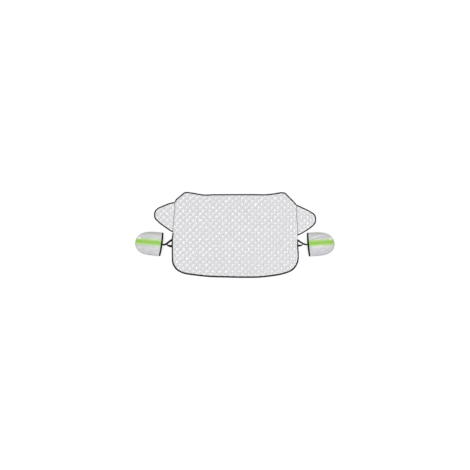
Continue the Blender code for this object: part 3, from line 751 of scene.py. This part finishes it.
def quilted_pad(name, node, bindings, top_material, under_material):
    """A padded piece in the place of a pad's solid. Returns the run of its edge along each binding, and
    the run that is sewn.
    """
    outline = wall_outline(node)
    marks = [taped_edges(outline, binding) for binding in bindings]
    loop, origin = smooth_outline(outline, EDGE_STEP)
    dense, dense_origin = smooth_outline(outline, EDGE_STEP / 3)
    ways_in = normals_of(dense, closed=True)
    whole = Edge(dense, ways_in)
    taped = np.array([any(mark[i] for mark in marks) for i in dense_origin])
    taped_edge = Edge(dense[taped], ways_in[taped])
    sewn_edge = Edge(dense[~taped], ways_in[~taped])

    def heights(points):
        from_tape = np.clip((taped_edge.depths(points) - PRESSED) / FADE, 0, 1)
        from_seam = np.clip((sewn_edge.depths(points) - SEAM_PRESSED) / FADE, 0, 1)
        fade = np.sqrt(from_tape * from_seam)
        return PAD_TOP + fade * PUFF * pillows(points)

    def under(points):
        depth = np.clip((whole.depths(points) - PRESSED) / UNDER_STEP, 0, 1)
        grooved = UNDER_GROOVE * np.clip(1 - pillows(points), 0, 1) ** 3
        return PAD_BOTTOM + depth * (grooved - PAD_BOTTOM)

    grid = diamond_grid(loop, CELL_STEPS)
    grid = grid[whole.depths(grid) > SEAM_PRESSED + RING_GAP]
    grid = grid[taped_edge.depths(grid) > PRESSED + RING_GAP]
    rings = [ring_points(whole, loop, depth) for depth in (SEAM_PRESSED, PRESSED)]
    upper, upper_faces, upper_rim = triangulated(loop, np.concatenate([grid, *rings]))

    grid = diamond_grid(loop, UNDER_CELL_STEPS)
    grid = grid[whole.depths(grid) > PRESSED + 2 * UNDER_STEP]
    rings = [ring_points(whole, loop, depth) for depth in (PRESSED, PRESSED + UNDER_STEP)]
    lower, lower_faces, lower_rim = triangulated(loop, np.concatenate([grid, *rings]))

    sides = ((upper, heights), (lower, under))
    vertices = np.concatenate([np.column_stack([points, z_of(points)]) for points, z_of in sides])
    base = len(upper)
    faces = list(upper_faces)
    faces += [tuple(base + i for i in face) for face in lower_faces]
    for i in range(len(loop)):
        j = (i + 1) % len(loop)
        faces.append((upper_rim[i], upper_rim[j], base + lower_rim[j], base + lower_rim[i]))
    piece = add_piece(name, vertices, faces, top_material, (node,))
    piece.data.materials.append(under_material)
    for face in piece.data.polygons:
        if face.normal.z < -0.5:
            face.material_index = 1
    seam = 1 - np.clip(sewn_edge.depths(np.concatenate([upper, lower])) / SEAM_LINE, 0, 1)
    layer = piece.data.attributes.new("sewn", "FLOAT", "POINT")
    layer.data.foreach_set("value", seam.astype(np.float32))
    runs = [run_of(loop, [mark[i] for i in origin]) for mark in marks]
    sewn = run_of(loop, [not any(mark[i] for mark in marks) for i in origin])
    return runs, sewn


def run_of(loop, marked):
    """The points along the marked edges, in order, where these are one unbroken run."""
    count = len(loop)
    start = next(i for i in range(count) if marked[i] and not marked[i - 1])
    run = [loop[start]]
    i = start
    while marked[i % count]:
        i += 1
        run.append(loop[i % count])
    return np.array(run)


# Tape and stitches


def tape_profile(lip, out):
    """(distance in from the pad's edge, z) round the section of the folded tape."""
    middle = TAPE_TOP / 2
    fold = []
    for step in range(1, 8):
        angle = math.pi * step / 8
        fold.append((TAPE_OUT - (TAPE_OUT + out) * math.sin(angle), middle + middle * math.cos(angle)))
    outer = [(lip, TAPE_TOP), (lip / 2, TAPE_TOP), (TAPE_OUT, TAPE_TOP), *fold]
    outer += [(TAPE_OUT, 0), (lip / 2, 0), (lip, 0)]
    inner = [(lip, TAPE_WALL), (-GAP, TAPE_WALL), (-GAP, TAPE_TOP - TAPE_WALL)]
    return outer + inner + [(lip, TAPE_TOP - TAPE_WALL)]


def folded_tape(name, path, material, stitch_material, widens=False):
    """Tape folded round the path, with the pad to its left, and its row of stitches."""
    normals = normals_of(path)
    sections = []
    wide = np.clip((path[:, 1] - WIDE_FROM[0]) / (WIDE_FROM[1] - WIDE_FROM[0]), 0, 1) * widens
    lips = TAPE_LIP + (WIDE_TAPE_LIP - TAPE_LIP) * wide
    outs = TAPE_OUT + (WIDE_TAPE_OUT - TAPE_OUT) * wide
    for (x, y), way, lip, out in zip(path, normals, lips, outs):
        wander = 0.0004 * noise.noise((40 * x, 40 * y, 0.0))
        ripple = 0.00025 * noise.noise((110 * x, 110 * y, 3.0))
        section = []
        for across, z in tape_profile(lip, out):
            share = across / lip if across > TAPE_OUT else 0
            rise = ripple * share if z > TAPE_TOP / 2 else 0
            spot = (x, y) + way * (across + wander * share)
            section.append((*spot, z + rise))
        sections.append(section)
    vertices, faces, uvs = strip(sections)
    add_piece(name, vertices, faces, material, (name.replace("tape", "binding"),), uvs)
    row = path + normals * (lips - STITCH_FROM_LIP)[:, None]
    add_stitches(name + "_stitches", row, TAPE_TOP, stitch_material)


def add_stitches(name, row, z, material):
    """A row of short raised stitches along the path."""
    lengths = lengths_along(row)
    vertices = []
    faces = []
    at = STITCH_PITCH
    while at + STITCH_LENGTH < lengths[-1]:
        ends = [
            np.array([np.interp(at + along, lengths, row[:, axis]) for axis in (0, 1)])
            for along in (0, STITCH_LENGTH)
        ]
        way = (ends[1] - ends[0]) / np.linalg.norm(ends[1] - ends[0])
        side = np.array((-way[1], way[0]))
        base = len(vertices)
        for share, size in THREAD_RINGS:
            middle = ends[0] + (ends[1] - ends[0]) * share
            for step in range(THREAD_SIDES):
                angle = 2 * math.pi * step / THREAD_SIDES
                spot = middle + side * (THREAD * size * math.cos(angle))
                vertices.append((*spot, z + THREAD * 0.55 * size * (0.6 + math.sin(angle))))
        for ring in range(base, len(vertices) - THREAD_SIDES, THREAD_SIDES):
            for step in range(THREAD_SIDES):
                a, b = ring + step, ring + (step + 1) % THREAD_SIDES
                faces.append((a, b, b + THREAD_SIDES, a + THREAD_SIDES))
        faces.append(tuple(range(base, base + THREAD_SIDES)))
        faces.append(tuple(range(len(vertices) - THREAD_SIDES, len(vertices))))
        at += STITCH_PITCH
    add_piece(name, vertices, faces, material)


# Mirror pouches. u runs from the mouth to the tip, and v across, towards the cover's top edge.


def mouth_u(pouch, v):
    """The u of the mouth's line, skewed and bowed."""
    return pouch.skew * v - pouch.bow * (1 - (2 * v / POUCH_WIDTH) ** 2)


def pouch_spot(pouch, u, v):
    """(x, y) of a point of the pouch."""
    u = u + mouth_u(pouch, v) * (1 - u / POUCH_LENGTH) + pouch.tip_skew * v * u / POUCH_LENGTH
    cos, sin = math.cos(pouch.tilt), math.sin(pouch.tilt)
    return pouch.x + pouch.sign * (u * cos - v * sin), pouch.y + u * sin + v * cos


def half_width_at(u):
    """Half the width inside the sewn border."""
    share = np.clip(u / (POUCH_LENGTH - POUCH_BORDER), 0, 1)
    return (POUCH_WIDTH / 2 - POUCH_BORDER) * (1 - share**TIP_POWER) ** (1 / SIDE_POWER)


def tip_u(v, border=0.0):
    """The u of the rounded tip."""
    share = np.clip(np.abs(v) / (POUCH_WIDTH / 2 - border), 0, 1)
    return (POUCH_LENGTH - border) * (1 - share**SIDE_POWER) ** (1 / TIP_POWER)


def fullness(u, v, power):
    """From 0 at the border to 1 in the middle of the mouth."""
    half = np.maximum(half_width_at(u), 1e-6)
    along = np.clip(u / (POUCH_LENGTH - POUCH_BORDER), 0, 1)
    return (1 - np.clip(np.abs(v) / half, 0, 1) ** power) * (1 - along**LENGTH_POWER)


def dome_z(u, v):
    """The inner face of the upper half."""
    filled = np.clip(u / (FILL_SHARE * POUCH_LENGTH), 0, 1)
    rise = MOUTH_RISE + (POUCH_RISE - MOUTH_RISE) * filled * (2 - filled)
    return SEAM_Z + GAP / 2 + rise * fullness(u, v, DOME_POWER)


def belly_z(u, v):
    """The outer face of the lower half."""
    drop = SEAM_Z - GAP / 2 - POUCH_CLOTH
    return drop * (1 - fullness(u, v, BELLY_POWER))


def inset(u, v):
    """How far in from the pouch's outer edge a point is, at most 20 mm."""
    share = np.clip(u / POUCH_LENGTH, 0, 1)
    half = POUCH_WIDTH / 2 * (1 - share**TIP_POWER) ** (1 / SIDE_POWER)
    beside = np.maximum(half - np.abs(v), 1e-5)
    ahead = np.maximum(tip_u(v) - u, 1e-5)
    return np.clip(1 / np.sqrt(1 / beside**2 + 1 / ahead**2), 0, 0.02)


def wrinkles(pouch, u, v):
    """Gathers behind the hem, long soft folds and a small crumple. The border is quieter."""
    seed = pouch.seed
    flat_u, flat_v = np.ravel(u), np.ravel(v)
    result = np.empty(len(flat_u))
    for i, (a, b) in enumerate(zip(flat_u, flat_v)):
        drift = noise.noise((a * 14, b * 30, seed))
        gather = math.sin(2 * math.pi * (b / GATHER_PITCH + 1.3 * drift))
        gather *= math.exp(-a / GATHER_REACH) * (0.65 + 0.5 * noise.noise((b * 35, seed, 1.0)))
        fold = 1 - abs(noise.noise((a * 7 + b * 4, b * 26 - a * 5, seed + 5))) * 2.2
        crumple = noise.noise((a * 48, b * 60, seed + 9))
        result[i] = GATHER_HEIGHT * gather + FOLD_HEIGHT * fold + CRUMPLE_HEIGHT * crumple
    quiet = np.clip((np.ravel(inset(u, v)) - POUCH_BORDER * 0.6) / 0.014, 0, 1)
    rim = np.sin(2 * math.pi * (flat_u + 0.4 * flat_v) / 0.011 + 3 * np.sin(flat_u * 60))
    result = result * quiet + RIM_RIPPLE * rim * (1 - quiet)
    return result.reshape(np.shape(u))


def pouch_grid(columns, rows):
    """u and v over the whole pouch: rows from the mouth to the tip in each column across."""
    angles = np.linspace(0.004, math.pi - 0.004, columns)
    v = -np.sign(np.cos(angles)) * np.abs(np.cos(angles)) ** (2 / SIDE_POWER) * POUCH_WIDTH / 2
    shares = np.linspace(0, 1, rows)
    u = shares[:, None] * tip_u(v)[None]
    return u, np.broadcast_to(v, u.shape)


def thin_sheet(name, pouch, u, v, low, thickness, material, replaced, flat_v=None):
    """A closed sheet of that thickness on the low heights of a grid."""
    rows, columns = u.shape
    x, y = pouch_spot(pouch, u, v)
    lower = np.stack([x, y, low], axis=2).reshape(-1, 3)
    upper = np.stack([x, y, low + thickness], axis=2).reshape(-1, 3)
    base = len(lower)
    faces = []
    for row in range(rows - 1):
        for column in range(columns - 1):
            a = row * columns + column
            b, c, d = a + 1, a + columns + 1, a + columns
            faces.append((base + a, base + b, base + c, base + d))
            faces.append((a, d, c, b))
    grid = np.arange(base).reshape(rows, columns)
    rim = [*grid[0], *grid[1:, -1], *grid[-1, -2::-1], *grid[-2:0:-1, 0]]
    for a, b in zip(rim, rim[1:] + rim[:1]):
        faces.append((a, b, base + b, base + a))
    spread = v if flat_v is None else flat_v
    uvs = np.stack([u, spread], axis=2).reshape(-1, 2)
    vertices = np.concatenate([lower, upper])
    return add_piece(name, vertices, faces, material, replaced, np.concatenate([uvs, uvs]))


def pouch_half(pouch, side, u, v, low, silver):
    """One of the two sewn halves of the cloth, marked where it is near its sewn border."""
    name = f"{pouch.name}_mirror_cover_{side}"
    half = thin_sheet(
        name + "_cloth", pouch, u, v, low, POUCH_CLOTH, silver, (name,)
    )
    near = 1 - np.clip((np.ravel(inset(u, v)) - POUCH_BORDER * 0.5) / (POUCH_BORDER * 0.7), 0, 1)
    layer = half.data.attributes.new("seam", "FLOAT", "POINT")
    layer.data.foreach_set("value", np.concatenate([near, near]).astype(np.float32))
    return half


def mirror_pouch(pouch, silver, lime, black):
    """Both halves of the cloth, the stripe and the hem."""
    u, v = pouch_grid(POUCH_COLUMNS, POUCH_ROWS)
    top = dome_z(u, v) + np.maximum(wrinkles(pouch, u, v), LOWEST_WRINKLE)
    front = pouch_half(pouch, "front", u, v, top, silver)
    u, v = pouch_grid(POUCH_COLUMNS // 2, POUCH_ROWS // 2)
    low = belly_z(u, v)
    low = low + np.maximum(0.35 * wrinkles(pouch, u, v), 0) * (low < 0.004)
    back = pouch_half(pouch, "back", u, v, low, silver)

    across = np.linspace(-STRIPE_WIDTH / 2, STRIPE_WIDTH / 2, 33)
    stripe_v = STRIPE_OFFSET + across
    shares = np.linspace(0, 1, 120)
    stripe_u = GAP + shares[:, None] * (tip_u(stripe_v, POUCH_BORDER) - 2 * GAP)[None]
    stripe_v = np.broadcast_to(stripe_v, stripe_u.shape)
    lift = np.maximum(wrinkles(pouch, stripe_u, stripe_v), LOWEST_WRINKLE)
    stripe = thin_sheet(
        f"{pouch.name}_mirror_stripe_tape", pouch, stripe_u, stripe_v,
        dome_z(stripe_u, stripe_v) + lift + POUCH_CLOTH + GAP, STRIPE_THICKNESS,
        lime, (f"{pouch.name}_mirror_stripe",),
        np.broadcast_to(across, stripe_u.shape),
    )
    hem = mouth_hem(pouch, black)


def mouth_hem(pouch, material):
    """The elastic hem, a flattened ring round the mouth, rippled by its gathers."""
    outer = np.linspace(-1, 1, 61) * POUCH_WIDTH / 2
    inner = outer * (1 - MOUTH_END * 2 / POUCH_WIDTH)
    over = [outer, dome_z(0, outer) + POUCH_CLOTH + HEM_EXTRA, inner, dome_z(0, inner) - HEM_EXTRA]
    outer_low, inner_low = (np.maximum(belly_z(0, v) - HEM_EXTRA, 0) for v in (outer, inner))
    under = [outer, outer_low, inner, inner_low + POUCH_CLOTH + 2 * HEM_EXTRA]
    sections = []
    front, back = -GAP - HEM_WIDTH, -GAP
    for outer_v, outer_z, inner_v, inner_z in (*zip(*over), *reversed([*zip(*under)])):
        thick = np.array((inner_v - outer_v, inner_z - outer_z))
        corners = []
        for along, deep in (
            (0.06, 0.0), (0.3, -0.05), (0.7, -0.05), (0.94, 0.0), (1.0, 0.25),
            (1.0, 0.8), (0.92, 1.0), (0.08, 1.0), (0.0, 0.8), (0.0, 0.25),
        ):
            u = front + along * (back - front)
            v, z = np.array((outer_v, outer_z)) + thick * max(deep, 0)
            if outer_z > SEAM_Z + POUCH_CLOTH and deep <= 0:
                z += HEM_GATHER * math.sin(2 * math.pi * outer_v / HEM_GATHER_PITCH) - 0.012 * deep
            corners.append((*pouch_spot(pouch, u, v), max(z, 0)))
        sections.append(corners)
    vertices, faces, uvs = strip(sections, closed=True)
    name = f"{pouch.name}_mirror_hem"
    return add_piece(name + "_elastic", vertices, faces, material, (name,), uvs)


# Straps. Their paths are as on the right, and sign mirrors them for the left.


def strap_root(edge, pouch, y):
    """Where a strap leaves the tape, and the way down along the edge there, as on the right."""
    beside = edge[edge[:, 0] * pouch.sign > BESIDE_PANEL] * (pouch.sign, 1)
    beside = beside[np.argsort(-beside[:, 1])]
    i = np.flatnonzero(beside[:, 1] <= y)[0]
    above, below = beside[i - 1], beside[i]
    way = (below - above) / np.linalg.norm(below - above)
    point = above + (below - above) * (above[1] - y) / (above[1] - below[1])
    return point + (TAPE_OUT + GAP) * np.array((-way[1], way[0])), way


def bezier(start, leaving, arriving, end, count):
    """Points on a cubic curve."""
    t = np.linspace(0, 1, count)[:, None]
    return (
        (1 - t) ** 3 * start
        + 3 * (1 - t) ** 2 * t * leaving
        + 3 * (1 - t) * t**2 * arriving
        + t**3 * end
    )


def webbing(name, sign, path, ends, widths, turn, material):
    """Flat elastic along the path, lying on its lower edge, in the place of the strap's solid.

    ends are the lines that it is cut along. widths and turn run evenly from its start to its end.
    """
    ways = normals_of(path)
    for i, end in ((0, ends[0]), (-1, ends[1])):
        ways[i] = end / (end @ ways[i])
    sections = []
    shares = np.linspace(0, 1, len(path))
    for (x, y), way, share in zip(path, ways, shares):
        width = widths[0] + (widths[1] - widths[0]) * share
        angle = turn * share
        cos, sin = math.cos(angle), math.sin(angle)
        half, thick = width / 2, STRAP_THICKNESS / 2
        brim = [(half - thick, thick), (half, 0.3 * thick)]
        brim += [(half, -0.3 * thick), (half - thick, -thick)]
        ring = [*brim, (0, -thick), *[(-a, b) for a, b in brim[::-1]], (0, 1.2 * thick)]
        middle = (width * sin + STRAP_THICKNESS * cos) / 2
        section = []
        for across, up in ring:
            flat_x, flat_y = (x, y) + way * (across * cos - up * sin)
            section.append((sign * flat_x, flat_y, max(middle + across * sin + up * cos, 0)))
        sections.append(section)
    vertices, faces, uvs = strip(sections)
    add_piece(name + "_webbing", vertices, faces, material, (name,), uvs)


def straps(pouch, edge, material):
    """The strap from the panel's edge to the hem, and the one below it that joins it."""
    root, way = strap_root(edge, pouch, pouch.upper_root)
    face = -2 * GAP - HEM_WIDTH
    half = UPPER_WIDTHS[pouch.name][1] / 2
    low, landing, high = [
        np.array(pouch_spot(pouch, face, v)) * (pouch.sign, 1) for v in (-half, 0, half)
    ]
    upper = bezier(root, root + UPPER_ROOT_RUN, landing + pouch.landing_run, landing, 49)
    name, widths = f"{pouch.name}_upper_strap", UPPER_WIDTHS[pouch.name]
    webbing(name, pouch.sign, upper, (way, high - low), widths, 0.0, material)
    join = len(upper) // 2
    along = upper[join + 1] - upper[join - 1]
    along /= np.linalg.norm(along)
    across = np.array((along[1], -along[0]))
    end = upper[join] + across * (np.mean(widths) / 2 + GAP)
    root, way = strap_root(edge, pouch, pouch.lower_root)
    out = np.array((-way[1], way[0]))
    reach = np.linalg.norm(end - root) / 3
    lower = bezier(root, root + out * reach, end + across * reach, end, 25)
    name, widths = f"{pouch.name}_lower_strap", LOWER_WIDTHS[pouch.name]
    webbing(name, pouch.sign, lower, (way, along), widths, LOWER_TURN, material)


# Floor, light and camera

FLOOR_HALF = 30.0
FLOOR_Z = -0.0004
FLOOR_GLOW = 0.56
SKY_LIGHT = 0.68
# (name, place, size, watts) of each lamp. All look at the origin, and a lamp's first side lies
# across the way it looks, level with the ground.
LAMPS = (
    ("overhead", (7.6, -2.4, 44.0), (30.0, 1.2), 4800),
    ("upper_left", (-12.0, 12.0, 16.0), (5.0, 5.0), 200),
    ("lower_left", (-12.0, -12.0, 16.0), (5.0, 5.0), 230),
)


def plain_floor():
    """A white floor. Camera rays get as much light added as the lamps leave it short of white."""
    mesh = bpy.data.meshes.new("floor")
    corners = [(-1, -1), (1, -1), (1, 1), (-1, 1)]
    mesh.from_pydata([(x * FLOOR_HALF, y * FLOOR_HALF, FLOOR_Z) for x, y in corners], [], [(0, 1, 2, 3)])
    shader = Shader("floor", 1.0, Specular_IOR_Level=0.0, Emission_Color=(1, 1, 1, 1))
    material, surface = shader.material, shader.surface
    shader.put(surface.inputs["Base Color"], (0.5, 0.5, 0.5))
    rays = shader.nodes.new("ShaderNodeLightPath").outputs
    seen = shader.maths("MAXIMUM", rays["Is Camera Ray"], rays["Is Glossy Ray"])
    seen = shader.maths("MAXIMUM", seen, rays["Is Transmission Ray"])
    shader.put(surface.inputs["Emission Strength"], shader.maths("MULTIPLY", seen, FLOOR_GLOW))
    mesh.materials.append(material)
    floor = bpy.data.objects.new("floor", mesh)
    bpy.context.scene.collection.objects.link(floor)


def area_light(name, place, size, watts):
    """A rectangular lamp that looks at the origin."""
    light = bpy.data.lights.new(name, "AREA")
    light.shape = "RECTANGLE"
    light.size, light.size_y = size
    light.energy = watts
    lamp = bpy.data.objects.new(name, light)
    lamp.location = place
    lamp.rotation_euler = (-Vector(place)).to_track_quat("-Z", "Y").to_euler()
    bpy.context.scene.collection.objects.link(lamp)


def studio():
    """A white world, a long lamp high above, and two weaker ones."""
    world = bpy.data.worlds.new("studio")
    world.use_nodes = True
    nodes, links = world.node_tree.nodes, world.node_tree.links
    background = nodes["Background"]
    background.inputs["Color"].default_value = (1, 1, 1, 1)
    rays = nodes.new("ShaderNodeLightPath")
    strength = nodes.new("ShaderNodeMapRange")
    links.new(rays.outputs["Is Camera Ray"], strength.inputs["Value"])
    strength.inputs["To Min"].default_value = SKY_LIGHT
    strength.inputs["To Max"].default_value = 1.0
    links.new(strength.outputs[0], background.inputs["Strength"])
    bpy.context.scene.world = world
    for lamp in LAMPS:
        area_light(*lamp)


def photo_camera():
    """Straight above, as far away as the photograph's scale asks of the lens."""
    camera = bpy.data.cameras.new("camera")
    camera.lens = LENS_MM
    camera.sensor_width = SENSOR_MM
    camera.clip_end = 100
    eye = bpy.data.objects.new("camera", camera)
    middle = PHOTO_SIZE / 2
    eye.location = (
        (middle - ORIGIN_PIXEL[0]) * METRES_PER_PIXEL,
        (ORIGIN_PIXEL[1] - middle) * METRES_PER_PIXEL,
        PHOTO_SIZE * METRES_PER_PIXEL * LENS_MM / SENSOR_MM,
    )
    bpy.context.scene.collection.objects.link(eye)
    bpy.context.scene.camera = eye


def build():
    """Every piece, then the floor, the light and the camera."""
    cloth, under, tape = quilted_cloth(), lining(), binding_tape()
    silver, lime, band = taffeta(), reflective_tape(), elastic()
    black = thread("black_thread", (0.05, 0.05, 0.05))
    grey = thread("grey_thread", (0.45, 0.45, 0.46))
    (top, bottom), _ = quilted_pad(
        "main_quilt", "main_panel", ("top_edge_binding", "bottom_edge_binding"), cloth, under
    )
    folded_tape("top_edge_tape", top, tape, black)
    folded_tape("bottom_edge_tape", bottom, tape, black, widens=True)
    for side in ("left", "right"):
        (free,), sewn = quilted_pad(
            f"{side}_flap_quilt", f"{side}_door_flap", (f"{side}_flap_binding",), cloth, under
        )
        folded_tape(f"{side}_flap_tape", free, tape, black)
        row = sewn + normals_of(sewn) * SEAM_STITCH_IN
        add_stitches(f"{side}_seam_stitches", row, PAD_TOP, grey)
    for pouch in POUCHES:
        mirror_pouch(pouch, silver, lime, band)
        straps(pouch, bottom, band)
    plain_floor()
    studio()
    photo_camera()
    bpy.context.scene.view_settings.view_transform = "Standard"


build()
